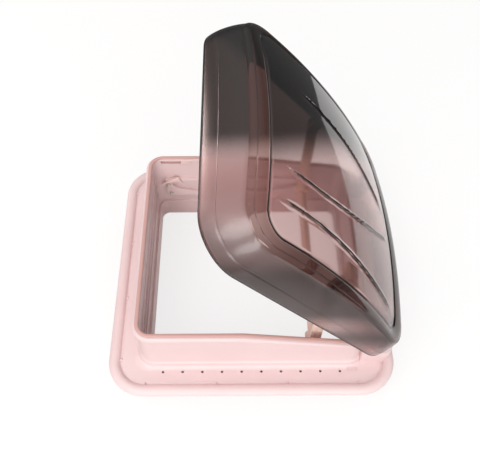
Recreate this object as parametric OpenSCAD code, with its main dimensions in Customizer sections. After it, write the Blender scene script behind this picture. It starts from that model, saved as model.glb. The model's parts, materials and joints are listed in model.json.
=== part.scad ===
// Caravan roof vent: a moulded roof frame with a hinged smoked dome lid,
// held open by a pair of stay arms whose crossbar runs in two cam tracks.
// +X is the hinge side, +Z is up, and z = 0 is the roof under the flange.

/* [Roof flange] */
// Width of the flange around the opening
flange_rim = 47; // [44:1:60]
// Corner radius of the flange
flange_r = 48; // [36:1:60]
// Thickness of the flange plate
flange_t = 3; // [2:0.5:5]
// Width of the rounded bead along the flange edge
bead_w = 14; // [10:1:18]
// Height of the bead above the roof
bead_h = 8; // [6:0.5:11]
// Distance between two screw holes
hole_pitch = 25; // [20:1:28]
// Screw holes in each row
hole_count = 10; // [6:2:10]
// Diameter of the screw holes
hole_d = 3.4; // [2.5:0.1:5]
// Distance of a row of screw holes from the collar foot
hole_foot = 6; // [4:0.5:9]

/* [Collar] */
// Clear width of the opening
opening_w = 272; // [260:1:280]
// Wall thickness of the collar
collar_t = 5; // [4:0.5:6]
// Radius of the inner corners of the collar
collar_r = 14; // [10:1:18]
// Height of the rim on the free side
rim_z = 80; // [76:0.5:82]
// Height of the rim on the hinge side
rim_low = 57; // [50:1:58]
// Place along X where the rim starts to slope down
slope_x = -10; // [-40:1:20]
// How far the rim lip stands out
lip_out = 4; // [2:0.5:6]
// Height of the rim lip
lip_h = 9; // [6:0.5:12]
// Depth of the spigot below the roof
spigot_h = 43; // [30:1:60]
// Wall thickness of the spigot
spigot_t = 3; // [2:0.5:4]
// Depth at which the inner ledge starts
ledge_z = 12; // [6:1:20]
// Width of the inner ledge
ledge_w = 3; // [2:0.5:5]

/* [Hinge] */
// Distance of the hinge axis outside the lid edge
hinge_out = 8; // [6.5:0.5:9]
// Drop of the hinge axis below the closed lid edge
hinge_drop = 1; // [0:0.5:2]
// Diameter of the hinge pins
pin_d = 6; // [4:0.5:6.5]
// Outer diameter of the hinge knuckles
knuckle_d = 10; // [9:0.5:11]
// Length of a lid knuckle
knuckle_l = 14; // [10:1:18]
// Length of one frame knuckle
ear_l = 9; // [6:1:12]
// Distance of each hinge in from the inner wall of the collar
hinge_in = 20; // [18:1:40]
// Gap between a lid knuckle and the hinge block below it
knuckle_gap = 1; // [0.5:0.25:3]
// Distance from the hinge axis to the outer face of the shelf
shelf_out = 10; // [8:0.5:11]
// Thickness of the hinge block base
block_t = 5; // [4:0.5:5]

/* [Lid] */
// How far the lid reaches past the rim lip on each side
lid_over = 20; // [18:0.5:24]
// Corner radius of the lid at its mouth
lid_r = 49; // [40:1:58]
// Place of the lid centre along X
lid_x = -5; // [-7:0.5:-1]
// Height of the lid mouth above the roof when closed
mouth_z = 42; // [41:0.5:46]
// Wall thickness of the dome
lid_wall = 3; // [2:0.5:4]
// Lean of the skirt on the free side
skirt_free = 14; // [8:1:18]
// Lean of the skirt on the front and back sides
skirt_side = 9; // [5:1:12]
// Lean of the skirt on the hinge side
skirt_hinge = 2; // [1:0.5:4]
// Height of the skirt in percent of the top edge
skirt_share = 84; // [78:1:88]
// Inset of the top edge on the free side
edge_free = 35; // [28:1:40]
// Inset of the top edge on the front and back sides
edge_side = 23; // [18:1:26]
// Inset of the top edge on the hinge side
edge_hinge = 24; // [18:1:28]
// Height of the top edge where it is highest
edge_h = 55; // [52:1:64]
// Place along X where the top edge is highest
edge_peak = -60; // [-80:1:-45]
// Fall of the top edge towards the hinge
edge_fall = 28; // [20:1:28]
// Rise of the crown above the top edge
crown_h = 12; // [6:1:20]
// Opening angle of the lid
open_deg = 48.7; // [40:0.1:52]

/* [Stay] */
// How much further the lid pivot lies from the hinge than half the opening
pivot_past = 10.5; // [8:0.5:13]
// Height of the lid pivot above the lid mouth
pivot_h = 14; // [12:0.5:18]
// Height of the crossbar at both ends of its travel
foot_z = 30; // [27:0.5:33]
// Width of an arm
arm_w = 14; // [12:0.5:16]
// Thickness of an arm
arm_t = 4; // [3:0.5:4.5]
// Lean of the arms from upright when the lid is open
lean_open = 2; // [0:0.5:8]
// Diameter of the crossbar
bar_d = 12; // [9:0.5:14]
// Diameter of the crossbar spigots and stay pins
peg_d = 5; // [4:0.25:5.5]
// Diameter of the glides
glide_d = 10; // [8:0.5:11]
// Outer diameter of the crossbar collars
sleeve_d = 20; // [17:0.5:22]
// Length of the crossbar collars
sleeve_l = 11; // [8:0.5:14]

/* [Guide rails] */
// Thickness of a guide rail
rail_t = 5; // [4:0.5:6]
// Rim of the rail above and below its track
rail_edge = 6; // [5:0.5:8]
// Length of the rail past the closed end of its track
rail_end = 15; // [14.5:0.25:15.5]

/* [Latch] */
// Distance of the latch pivot behind the closed crossbar
latch_back = 11; // [10:0.5:11]
// Height of the latch pivot above the closed crossbar
latch_up = 4; // [3:0.5:5]
// Thickness of the latch lever
latch_t = 3; // [2.5:0.25:3.2]
// Turn of the latch lever from raised to latched
latch_deg = 25; // [20:1:30]
// Diameter of the latch pivot pin
latch_pin_d = 4; // [3:0.25:5]

/* [Seal and screws] */
// Width of the rim seal
seal_w = 3; // [2:0.25:4]
// Height of the rim seal
seal_h = 2.5; // [1.5:0.25:3]
// Shank diameter of the screws
screw_d = 3; // [2.5:0.25:3.5]
// Head diameter of the screws
head_d = 6.5; // [5.5:0.25:7]
// Head height of the screws
head_h = 2; // [1.5:0.25:2.25]
// Grip of a screw in the piece behind
screw_grip = 2.5; // [2:0.25:2.75]

/* [Fits] */
// Radial clearance of pins and bushes in their bores
run_gap = 0.05; // [0.02:0.01:0.1]
// Clearance beside pieces that move past each other
side_gap = 0.4; // [0.3:0.05:0.6]
// Clearance of the glides in their tracks
track_gap = 0.3; // [0.2:0.05:0.5]
// Clearance under the head of a latch pin
latch_gap = 0.2; // [0.1:0.05:0.3]
// Clearance of the screws in their holes
screw_gap = 0.1; // [0.05:0.05:0.2]

/* [Hidden] */
$fn = 64;

eps = 0.01;
frame_pink = "#e8c6c2";
smoke = "#453a38";
cream = "#e6c4b0";
steel = "#c8c8c8";

// Collar, spigot and rim
collar_in = opening_w / 2;
collar_out = collar_in + collar_t;
spigot_out = collar_in + spigot_t;
foot_out = 5;
foot_h = 3;
rim_far = 400;
slot_x0 = -(collar_in - 5);
slot_l = 34;
slot_depth = 3;
slot_h = 6;
clip_l = 14;
clip_out = 1.5;
rib_out = 2;
rib_t = 3;
rib_heights = [18, 36, 54];
flange_w = opening_w + 2 * flange_rim;
hole_y = collar_out + foot_out + hole_foot;
bead_steps = 3;
bead_step = (bead_h - flange_t) / bead_steps;
pocket_size = [13, 5];
pocket_depth = 0.8;
pocket_in = 8;
pocket_x = collar_in - pocket_in;
pocket_y = hole_y - 3;

// Hinge
lid_w = 2 * (collar_out + lip_out + lid_over);
lid_edge = lid_x + lid_w / 2;
hinge = [lid_edge + hinge_out, mouth_z - hinge_drop];
shelf_x = hinge[0] + shelf_out;
shelf_wall = 3;
shelf_r = 14;
block_gap = 5;
block_back = hinge[0] - collar_out - block_gap;
hinge_y = collar_in - hinge_in;
block_w = knuckle_l + 2 * (ear_l + side_gap);
block_z = hinge[1] - knuckle_d / 2 - knuckle_gap;
shelf_h = block_z - block_t;
block_screw_x = hinge[0] - block_back + head_d;
leaf_t = 2.5;
leaf_h = 12;
leaf_lift = knuckle_d / 2 + 3;
leaf_screw_y = block_w / 2 - head_d / 2 - 1;

// Lid and stay in the plane of the mechanism, as [x, z]
edge_half = lid_w / 2 - edge_side;
edge_span = lid_edge - edge_hinge - edge_peak;
pivot_x = hinge[0] - collar_in - pivot_past;
pivot_closed = [pivot_x, mouth_z + pivot_h];
// Height of the top face above the mouth, at a place in the closed lid
function top_rise(x, y) = edge_h - edge_fall * pow((x - edge_peak) / edge_span, 2)
    + crown_h * (1 - pow(y / edge_half, 2));
function turn(p, a) = [p[0] * cos(a) + p[1] * sin(a), -p[0] * sin(a) + p[1] * cos(a)];
function lean(a) = [-sin(a), -cos(a)];
function way(a) = [cos(a), sin(a)];
function pivot_at(t) = hinge + turn(pivot_closed - hinge, open_deg * (1 - t));
function foot_at(t) = pivot_at(t) + arm_len * lean(lean_open + t * (lean_closed - lean_open));
pivot_open = pivot_at(0);
arm_len = (pivot_open[1] - foot_z) / cos(lean_open);
lean_closed = acos((pivot_closed[1] - foot_z) / arm_len);
foot_open = foot_at(0);
foot_closed = foot_at(1);

// Layers from the collar wall inwards along Y
rail_face = collar_in - rail_t;
arm_out = rail_face - latch_t - latch_gap - 2 * side_gap;
arm_in = arm_out - arm_t;
bracket_t = 5;
cheek_t = latch_t;
bracket_half = arm_w + 2;
bracket_y0 = arm_in - side_gap - bracket_t - head_d - 2;
bracket_y1 = arm_out + side_gap + cheek_t;
bracket_gap = 0.3;
// Underside of the dome along the outer edge of a bracket
function bracket_seat(x) = [x, mouth_z + top_rise(x, bracket_y1) - lid_wall - bracket_gap];
bracket_low = bracket_seat(pivot_x + bracket_half)[1] - bracket_t;
glide_out = collar_in - side_gap;

// Track of the glides
track_steps = 32;
end_steps = 12;
track_half = glide_d / 2 + track_gap;
track = [for (i = [0:track_steps]) foot_at(i / track_steps)];
track_z = [for (p = track) p[1]];
rail_x0 = foot_closed[0] - rail_end;
rail_x1 = foot_open[0] + track_half + rail_edge;
rail_z0 = min(track_z) - track_half - rail_edge;
rail_z1 = max(track_z) + track_half + rail_edge;
rail_screw_places = [
    [rail_x0 + head_d, rail_z0 + head_d],
    [rail_x1 - head_d, rail_z0 + head_d],
    [(rail_x0 + rail_x1) / 2, rail_z1 - head_d]
];
latch_pivot = foot_closed + [-latch_back, latch_up];
lever_in = rail_face - side_gap - latch_t;
hub_t = 3;
hook_gap = 0.6;
hook_t = 3.4;
hook_h = 5;
tooth_drop = 2;
tab_l = 9;
pin_head_out = 3;
pin_head_t = 2;

// Outline of a square with round corners, w wide
corner_steps = 16;
function round_outline(w, r) = [for (k = [0:3], i = [0:corner_steps])
    let (a = 90 * (k + i / corner_steps), c = w / 2 - r)
    [(k == 0 || k == 3 ? c : -c) + r * cos(a), (k < 2 ? c : -c) + r * sin(a)]];

module round_square(w, r) {
    polygon(round_outline(w, r));
}

// Upright ring between two rounded squares
module ring(w_out, r_out, w_in, r_in, z0, z1) {
    translate([0, 0, z0]) linear_extrude(z1 - z0) difference() {
        round_square(w_out, r_out);
        round_square(w_in, r_in);
    }
}

// Outline in X and Z, spread along Y from y0 to y1
module slab(y0, y1) {
    translate([0, y1, 0]) rotate([90, 0, 0]) linear_extrude(y1 - y0) children();
}

// Round bar along Y at p = [x, z]
module bar(p, d, y0, y1) {
    slab(y0, y1) translate(p) circle(d = d);
}

// Front pieces mirror the back ones
module front() {
    mirror([0, 1, 0]) children();
}

// Lid pieces are drawn closed and turned open about the hinge
module lid_open() {
    translate([hinge[0], 0, hinge[1]]) rotate([0, open_deg, 0])
        translate([-hinge[0], 0, -hinge[1]]) children();
}

// Stay pieces are drawn with the pivot at the origin and the arm hanging down
module stay_open() {
    translate([pivot_open[0], 0, pivot_open[1]]) rotate([0, lean_open, 0]) children();
}

// Screw with its head on +Z, seated at the origin
module screw(length) {
    cylinder(d = head_d, h = head_h);
    translate([0, 0, -length]) cylinder(d = screw_d, h = length + eps);
}

module screw_hole(length) {
    translate([0, 0, -length]) cylinder(d = screw_d + 2 * screw_gap, h = length + 1);
}

// Outline of the rim in X and Z, raised by up
function rim_line(up) = [
    [-rim_far, rim_z + up], [slope_x, rim_z + up],
    [collar_out, rim_low + up], [rim_far, rim_low + up]
];

// Space from down below the rim up to up above it
module rim_slab(down, up) {
    bottom = rim_line(-down);
    top = rim_line(up);
    slab(-rim_far, rim_far) polygon(concat(bottom, [for (i = [3:-1:0]) top[i]]));
}

// Raised edge of the flange, in steps that follow its round section
module flange_bead() {
    for (i = [0:bead_steps - 1]) {
        a = asin((i + 0.5) / bead_steps);
        back = bead_w / 2 * (1 - cos(a));
        ring(flange_w - 2 * back, flange_r - back,
            flange_w - 2 * (bead_w - back), flange_r - bead_w + back,
            i == 0 ? 0 : flange_t + i * bead_step, flange_t + (i + 1) * bead_step);
    }
}

// Rows of screw holes along the front and back of the flange
module flange_holes() {
    for (side = [-1, 1], i = [0:hole_count - 1])
        translate([(i - (hole_count - 1) / 2) * hole_pitch, side * hole_y, -1])
            cylinder(d = hole_d, h = flange_t + 2);
}

// Holes for the rail screws and the latch pin in the collar walls
module rail_holes() {
    for (p = rail_screw_places)
        bar(p, screw_d + 2 * screw_gap, collar_in - 1, collar_in + screw_grip + 0.5);
}

// Outline of the shelf, round at its two outer corners
function shelf_outline(half) = concat([[collar_in + 1, half], [collar_in + 1, -half]],
    [for (k = [-1, 1], i = [0:corner_steps])
        let (a = (k < 0 ? -90 : 0) + 90 * i / corner_steps)
        [shelf_x - shelf_r + shelf_r * cos(a), k * (half - shelf_r) + shelf_r * sin(a)]]);

module hinge_shelf() {
    half = collar_out;
    difference() {
        linear_extrude(shelf_h) polygon(shelf_outline(half));
        bay = (2 * half - 5 * shelf_wall) / 4;
        for (i = [0:3]) translate([collar_out, shelf_wall - half + i * (bay + shelf_wall), -1])
            cube([shelf_x - shelf_r / 2 - collar_out - shelf_wall, bay, shelf_h - shelf_wall + 1]);
        for (side = [-1, 1], x = [0, 1]) translate([block_screw_x, side * hinge_y, shelf_h])
            translate([0, (x - 0.5) * (block_w - 2 * head_d), 0]) screw_hole(screw_grip + 0.5);
    }
}

module roof_frame() color(frame_pink) difference() {
    union() {
        ring(flange_w, flange_r, opening_w, collar_r, 0, flange_t);
        flange_bead();
        ring(2 * (collar_out + foot_out), collar_r + collar_t + foot_out,
            opening_w, collar_r, 0, flange_t + foot_h);
        difference() {
            ring(2 * collar_out, collar_r + collar_t, opening_w, collar_r, 0, rim_z);
            rim_slab(0, rim_far);
        }
        intersection() {
            ring(2 * (collar_out + lip_out), collar_r + collar_t + lip_out,
                opening_w, collar_r, flange_t, rim_z);
            rim_slab(lip_h, 0);
        }
        ring(2 * spigot_out, collar_r + spigot_t, opening_w, collar_r, -spigot_h, 1);
        ring(opening_w + 1, collar_r, opening_w - 2 * ledge_w, collar_r - ledge_w, -spigot_h, -ledge_z);
        for (z = rib_heights) translate([-collar_in - 1, collar_r - collar_in, z])
            cube([rib_out + 1, 2 * (collar_in - collar_r), rib_t]);
        hinge_shelf();
    }
    flange_holes();
    for (side = [-1, 1]) {
        mirror([0, side < 0 ? 1 : 0, 0]) translate([slot_x0, collar_in - 1, rim_z - lip_h])
            cube([slot_l + clip_l, slot_depth + 1, slot_h]);
        translate([pocket_x, side * pocket_y, flange_t - pocket_depth + bead_h / 2])
            cube([pocket_size[0], pocket_size[1], bead_h], center = true);
    }
    rail_holes();
    front() rail_holes();
}

module rim_seal() color(frame_pink) intersection() {
    ring(2 * collar_out - collar_t + seal_w, collar_r + (collar_t + seal_w) / 2,
        2 * collar_out - collar_t - seal_w, collar_r + (collar_t - seal_w) / 2, 0, rim_z + seal_h);
    rim_slab(0, seal_h);
}

// Clip blocks that sit in the slots under the rim
module rim_clips() color(cream) for (side = [0, 1]) mirror([0, side, 0])
    translate([slot_x0 + slot_l, collar_in - clip_out, rim_z - lip_h])
        cube([clip_l, clip_out + slot_depth, slot_h]);

// Plate with the curved track of one glide
module guide_rail() color(frame_pink) difference() {
    guide_plate();
    for (p = rail_screw_places)
        bar(p, screw_d + 2 * screw_gap, rail_face - 1, collar_in + 1);
}

// The plate ends where the round corner of the collar starts, or follows it
module guide_plate() intersection() {
    translate([0, 0, rail_z0 - 1]) linear_extrude(rail_z1 - rail_z0 + 2) round_square(opening_w, collar_r);
    slab(rail_face, collar_in + eps) difference() {
        translate([rail_x0, rail_z0]) square([rail_x1 - rail_x0, rail_z1 - rail_z0]);
        polygon(concat(track_side(1), track_end(track_steps, 90),
            [for (i = [track_steps:-1:0]) track_side(-1)[i]], track_end(0, -90)));
        translate(latch_pivot) circle(d = latch_pin_d + 2 * run_gap);
    }
}

// One side of the track, a set distance from the path of the glide
function track_dir(i) = track[min(i + 1, track_steps)] - track[max(i - 1, 0)];
function track_side(s) = [for (i = [0:track_steps])
    track[i] + s * track_half * [-track_dir(i)[1], track_dir(i)[0]] / norm(track_dir(i))];

// Round end of the track, from one side to the other
function track_end(i, start) = let (a = atan2(track_dir(i)[1], track_dir(i)[0]) + start)
    [for (k = [1:end_steps - 1]) track[i] + track_half * way(a - 180 * k / end_steps)];

module guide_rail_back() guide_rail();
module guide_rail_front() front() guide_rail();

// Turns a screw so that its head faces the middle of the opening
module rail_screws() {
    for (p = rail_screw_places) translate([p[0], rail_face, p[1]])
        rotate([90, 0, 0]) screw(rail_t + screw_grip);
}

module guide_rail_screws() color(steel) {
    rail_screws();
    front() rail_screws();
}

module hinge_block() color(frame_pink) difference() {
    union() {
        translate([hinge[0] - block_back, hinge_y - block_w / 2, shelf_h])
            cube([block_back + shelf_out - shelf_wall, block_w, block_t]);
        for (s = [-1, 1]) hinge_ear(hinge_y + s * (block_w - ear_l) / 2);
    }
    bar(hinge, pin_d + 2 * run_gap, hinge_y - block_w, hinge_y + block_w);
    for (s = [-1, 1]) translate([block_screw_x, hinge_y + s * (block_w / 2 - head_d), block_z])
        screw_hole(block_t + 1);
}

module hinge_ear(y) {
    bar(hinge, knuckle_d, y - ear_l / 2, y + ear_l / 2);
    translate([hinge[0] - knuckle_d / 2, y - ear_l / 2, shelf_h])
        cube([knuckle_d, ear_l, hinge[1] - shelf_h]);
}

module hinge_block_back() hinge_block();
module hinge_block_front() front() hinge_block();

module hinge_block_screws() color(steel) for (side = [-1, 1], s = [-1, 1])
    translate([block_screw_x, side * hinge_y + s * (block_w / 2 - head_d), block_z])
        screw(block_t + screw_grip);

module hinge_pin() color(steel) bar(hinge, pin_d, hinge_y - block_w / 2, hinge_y + block_w / 2);
module hinge_pin_back() hinge_pin();
module hinge_pin_front() front() hinge_pin();

// Dome surface: level 0 is the mouth, 1 the top of the skirt, 2 the top edge, 3 the middle
skirt_rings = 4;
shoulder_rings = 6;
crown_rings = 8;
side_points = 8;
corner_points = 10;
dome_rings = skirt_rings + shoulder_rings + crown_rings;
function ring_level(i) = i <= skirt_rings ? i / skirt_rings
    : i <= skirt_rings + shoulder_rings ? 1 + (i - skirt_rings) / shoulder_rings
    : 2 + (i - skirt_rings - shoulder_rings) / (crown_rings + 1);
// Insets on the free side, on the front and back, and on the hinge side
skirt_lean = [skirt_free, skirt_side, skirt_hinge];
edge_lean = [edge_free, edge_side, edge_hinge];
skirt_curve = 1.8;
function dome_inset(l) = l <= 1 ? skirt_lean * pow(l, skirt_curve)
    : skirt_lean + (edge_lean - skirt_lean) * (1 - cos(90 * (min(l, 2) - 1)));
function dome_share(l) = l <= 1 ? skirt_share / 100 * l
    : skirt_share / 100 + (1 - skirt_share / 100) * sin(90 * (min(l, 2) - 1));
function dome_shrink(l) = 1 - max(l - 2, 0);
// Points of a rounded rectangle round four corner centres, side by side and corner by corner
function path_points(c, r) = [for (k = [0:3], i = [0:side_points + corner_points - 1])
    let (from = c[(k + 3) % 4] + r * way(90 * k), to = c[k] + r * way(90 * k))
    i < side_points ? from + (to - from) * i / side_points
        : c[k] + r * way(90 * (k + (i - side_points) / corner_points))];
function ring_path(l, wall) =
    let (inset = dome_inset(l), r = lid_r - wall - inset[1], x0 = lid_x - lid_w / 2 + wall + inset[0] + r,
        x1 = lid_edge - wall - inset[2] - r, y = lid_w / 2 - wall - inset[1] - r)
    path_points([[x1, y], [x0, y], [x0, -y], [x1, -y]], r);
function edge_middle() = [(lid_x - lid_w / 2 + edge_free + lid_edge - edge_hinge) / 2, 0];
function dome_ring(l, wall) =
    let (path = ring_path(l, wall), edge = ring_path(2, wall), mid = edge_middle(), s = dome_shrink(l))
    [for (i = [0:len(path) - 1])
        let (p = mid + s * (path[i] - mid), q = mid + s * (edge[i] - mid))
        [p[0], p[1], mouth_z + dome_share(l) * (top_rise(q[0], q[1]) - wall)]];
function dome_top(wall) = let (mid = edge_middle()) [mid[0], 0, mouth_z + top_rise(mid[0], 0) - wall];
ring_count = 4 * (side_points + corner_points);
function wall_faces(base, flip) = [for (i = [0:dome_rings - 1], k = [0:ring_count - 1], half = [0, 1])
    let (p = base + i * ring_count + k, q = base + i * ring_count + (k + 1) % ring_count,
        f = half == 0 ? [p, p + ring_count, q] : [q, p + ring_count, q + ring_count])
    flip ? [f[2], f[1], f[0]] : f];
function cap_faces(base, flip) =
    let (last = base + dome_rings * ring_count, top = last + ring_count)
    [for (k = [0:ring_count - 1])
        let (p = last + k, q = last + (k + 1) % ring_count)
        flip ? [q, top, p] : [p, top, q]];
function dome_skin(wall) =
    concat([for (i = [0:dome_rings]) each dome_ring(ring_level(i), wall)], [dome_top(wall)]);
skin_size = (dome_rings + 1) * ring_count + 1;
function mouth_faces() = [for (k = [0:ring_count - 1], half = [0, 1])
    let (q = (k + 1) % ring_count)
    half == 0 ? [k, q, skin_size + k] : [q, skin_size + q, skin_size + k]];

module lid_dome() color(smoke, 0.7) lid_open() polyhedron(
    points = concat(dome_skin(0), dome_skin(lid_wall)),
    faces = concat(wall_faces(0, false), cap_faces(0, false),
        wall_faces(skin_size, true), cap_faces(skin_size, true), mouth_faces()),
    convexity = 4);

module hinge_leaf() color(frame_pink) lid_open() difference() {
    union() {
        bar(hinge, knuckle_d, hinge_y - knuckle_l / 2, hinge_y + knuckle_l / 2);
        translate([lid_edge, hinge_y - knuckle_l / 2, hinge[1]])
            cube([hinge_out, knuckle_l, leaf_lift + 2]);
        translate([lid_edge, hinge_y - block_w / 2, hinge[1] + leaf_lift])
            cube([leaf_t, block_w, leaf_h]);
    }
    bar(hinge, pin_d + 2 * run_gap, hinge_y - block_w, hinge_y + block_w);
    for (s = [-1, 1]) leaf_screw_place(s) screw_hole(leaf_t + 1);
}

module leaf_screw_place(s) {
    translate([lid_edge + leaf_t, hinge_y + s * leaf_screw_y, hinge[1] + leaf_lift + leaf_h / 2])
        rotate([0, 90, 0]) children();
}

module hinge_leaf_back() hinge_leaf();
module hinge_leaf_front() front() hinge_leaf();

module hinge_leaf_screws() color(steel) lid_open() {
    for (s = [-1, 1]) leaf_screw_place(s) screw(leaf_t);
    front() for (s = [-1, 1]) leaf_screw_place(s) screw(leaf_t);
}

// Screw places of a stay bracket, pointing up into the dome
module bracket_screw_place(side, s) {
    translate([pivot_x + s * (arm_w - 3), side * (bracket_y0 + head_d / 2 + 1), bracket_low])
        mirror([0, 0, 1]) children();
}

// Clevis under the dome that holds one stay pin
module stay_bracket() color(cream) lid_open() difference() {
    union() {
        slab(bracket_y0, bracket_y1) polygon(concat(
            [[pivot_x + bracket_half, bracket_low], [pivot_x - bracket_half, bracket_low]],
            [for (x = [-1, -0.5, 0, 0.5, 1]) bracket_seat(pivot_x + x * bracket_half)]));
        bracket_cheek(arm_in - side_gap - bracket_t, arm_in - side_gap);
        bracket_cheek(arm_out + side_gap, bracket_y1);
    }
    bar(pivot_closed, peg_d + 2 * run_gap, bracket_y0 - 1, bracket_y1 + 1);
    for (s = [-1, 1]) bracket_screw_place(1, s) screw_hole(bracket_t + edge_h);
}

module bracket_cheek(y0, y1) {
    bar(pivot_closed, arm_w, y0, y1);
    translate([pivot_x - arm_w / 2, y0, pivot_closed[1]])
        cube([arm_w, y1 - y0, bracket_low + 1 - pivot_closed[1]]);
}

module stay_bracket_back() stay_bracket();
module stay_bracket_front() front() stay_bracket();

module stay_bracket_screws() color(steel) lid_open()
    for (side = [-1, 1], s = [-1, 1]) bracket_screw_place(side, s) screw(bracket_t);

module stay_pin() color(steel) lid_open()
    bar(pivot_closed, peg_d, arm_in - side_gap - bracket_t, arm_out + side_gap + cheek_t);
module stay_pin_back() stay_pin();
module stay_pin_front() front() stay_pin();

module stay_arm() color(cream) stay_open() slab(arm_in, arm_out) difference() {
    union() {
        translate([-arm_w / 2, -arm_len]) square([arm_w, arm_len]);
        circle(d = arm_w);
        translate([0, -arm_len]) circle(d = arm_w);
    }
    circle(d = peg_d + 2 * run_gap);
    translate([0, -arm_len]) circle(d = peg_d + 2 * run_gap);
}

module stay_arm_back() stay_arm();
module stay_arm_front() front() stay_arm();

module stay_crossbar() color(cream) stay_open() {
    bar([0, -arm_len], bar_d, -arm_in + side_gap, arm_in - side_gap);
    bar([0, -arm_len], peg_d, -glide_out, glide_out);
}

// Collar that steadies an arm on the crossbar
module crossbar_collar() color(cream) stay_open() slab(arm_in - side_gap - sleeve_l, arm_in) difference() {
    translate([0, -arm_len]) circle(d = sleeve_d);
    translate([0, -arm_len]) circle(d = bar_d + 2 * run_gap);
}

module crossbar_collar_back() crossbar_collar();
module crossbar_collar_front() front() crossbar_collar();

module glide() color(steel) stay_open() slab(arm_out, glide_out) difference() {
    translate([0, -arm_len]) circle(d = glide_d);
    translate([0, -arm_len]) circle(d = peg_d + 2 * run_gap);
}

module glide_back() glide();
module glide_front() front() glide();

// Hook that drops over the crossbar glide when the lid is closed
module latch_lever() color(cream)
    translate([latch_pivot[0], 0, latch_pivot[1]]) rotate([0, -latch_deg, 0])
        slab(lever_in, rail_face - side_gap) difference() {
            reach = latch_back + glide_d / 2 + hook_gap;
            under = -latch_up + glide_d / 2 + hook_gap;
            union() {
                circle(d = latch_pin_d + 2 * hub_t);
                translate([0, under]) square([reach + hook_t, hook_h]);
                translate([reach, -latch_up - tooth_drop])
                    square([hook_t, under + latch_up + tooth_drop + hook_h]);
                translate([-tab_l, 0]) square([tab_l, hook_h]);
            }
            circle(d = latch_pin_d + 2 * run_gap);
        }
module latch_lever_back() latch_lever();
module latch_lever_front() front() latch_lever();

module latch_pin() color(steel) {
    bar(latch_pivot, latch_pin_d, lever_in - latch_gap, collar_in);
    bar(latch_pivot, latch_pin_d + pin_head_out, lever_in - latch_gap - pin_head_t, lever_in - latch_gap);
}
module latch_pin_back() latch_pin();
module latch_pin_front() front() latch_pin();

roof_frame();
rim_seal();
rim_clips();
guide_rail_front();
guide_rail_back();
guide_rail_screws();
hinge_block_front();
hinge_block_back();
hinge_block_screws();
hinge_pin_front();
hinge_pin_back();
lid_dome();
hinge_leaf_front();
hinge_leaf_back();
hinge_leaf_screws();
stay_bracket_front();
stay_bracket_back();
stay_bracket_screws();
stay_pin_front();
stay_pin_back();
stay_arm_front();
stay_arm_back();
stay_crossbar();
crossbar_collar_front();
crossbar_collar_back();
glide_front();
glide_back();
latch_lever_front();
latch_lever_back();
latch_pin_front();
latch_pin_back();
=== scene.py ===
# %% [markdown]
# # A caravan roof vent
# The vent is a moulded plastic frame that sits in a square hole in a caravan roof, with a smoked acrylic
# dome that hinges up on a pair of stay arms. This notebook dresses the measured solids of that vent. It
# models the big smooth mouldings again with finer curves, and softens the edges of the small hard parts.

# %% Load the measured frame
import json
import math
import bpy
import bmesh
from mathutils import Matrix, Vector


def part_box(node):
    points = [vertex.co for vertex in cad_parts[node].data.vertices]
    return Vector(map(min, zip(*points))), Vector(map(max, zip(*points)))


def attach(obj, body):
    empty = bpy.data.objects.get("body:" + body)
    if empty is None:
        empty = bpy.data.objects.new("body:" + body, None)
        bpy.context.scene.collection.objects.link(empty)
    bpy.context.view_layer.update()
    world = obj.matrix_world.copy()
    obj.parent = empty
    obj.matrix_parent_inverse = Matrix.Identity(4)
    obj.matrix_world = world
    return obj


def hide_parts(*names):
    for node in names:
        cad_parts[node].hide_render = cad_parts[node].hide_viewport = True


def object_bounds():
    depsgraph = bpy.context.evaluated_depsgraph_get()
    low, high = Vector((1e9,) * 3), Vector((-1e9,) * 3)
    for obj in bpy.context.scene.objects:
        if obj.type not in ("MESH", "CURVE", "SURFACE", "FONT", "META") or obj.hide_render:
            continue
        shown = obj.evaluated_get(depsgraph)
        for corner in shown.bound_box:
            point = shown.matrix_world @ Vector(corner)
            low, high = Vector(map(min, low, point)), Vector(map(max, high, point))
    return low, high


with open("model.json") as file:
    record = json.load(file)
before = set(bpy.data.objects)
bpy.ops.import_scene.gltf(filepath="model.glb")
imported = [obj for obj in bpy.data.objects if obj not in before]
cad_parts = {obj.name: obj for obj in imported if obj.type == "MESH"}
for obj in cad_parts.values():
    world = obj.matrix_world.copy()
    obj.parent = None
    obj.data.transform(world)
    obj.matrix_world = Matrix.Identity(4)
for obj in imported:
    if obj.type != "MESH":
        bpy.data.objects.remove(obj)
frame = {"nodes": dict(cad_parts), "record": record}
nodes = frame["nodes"]
cad_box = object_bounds()
MM = 0.001
print("nodes:", len(nodes), "box:", [[round(c, 3) for c in p] for p in cad_box])


def box_mm(node):
    """Lowest and highest corner of a CAD node, in millimetres."""
    return [Vector(corner_point) / MM for corner_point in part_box(node)]


# %% [markdown]
# ## The camera
# The photograph looks down at the vent from the front, about 56 degrees above the horizon. The focal
# length and the place below come from matching the flange's four edges and its row of screw holes.

# %% Camera
CAMERA_PLACE = Vector((-18.5, -466.8, 772.5)) * MM
CAMERA_DOWN = 55.8
CAMERA_YAW = 0.37
FOCAL_PIXELS = 639.6
IMAGE_WIDTH = 480
SENSOR_MM = 36.0

camera_data = bpy.data.cameras.new("photo_camera")
camera_data.sensor_width = SENSOR_MM
camera_data.lens = FOCAL_PIXELS / IMAGE_WIDTH * SENSOR_MM
camera_data.shift_x = 0.003
camera_data.shift_y = 0.0097
camera_data.clip_start = 0.01
camera = bpy.data.objects.new("photo_camera", camera_data)
camera.location = CAMERA_PLACE
camera.rotation_euler = (math.radians(90 - CAMERA_DOWN), 0, -math.radians(CAMERA_YAW))
bpy.context.scene.collection.objects.link(camera)
bpy.context.scene.camera = camera
print("lens:", round(camera_data.lens, 2), "mm")

# %% [markdown]
# ## Colours and shader helpers
# Colours are written as sRGB hex values, as a paint chart gives them, and one function turns them into
# the linear values that shaders work in. A second function adds a node, sets it and links it. It serves
# shader trees and geometry trees alike.

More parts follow.
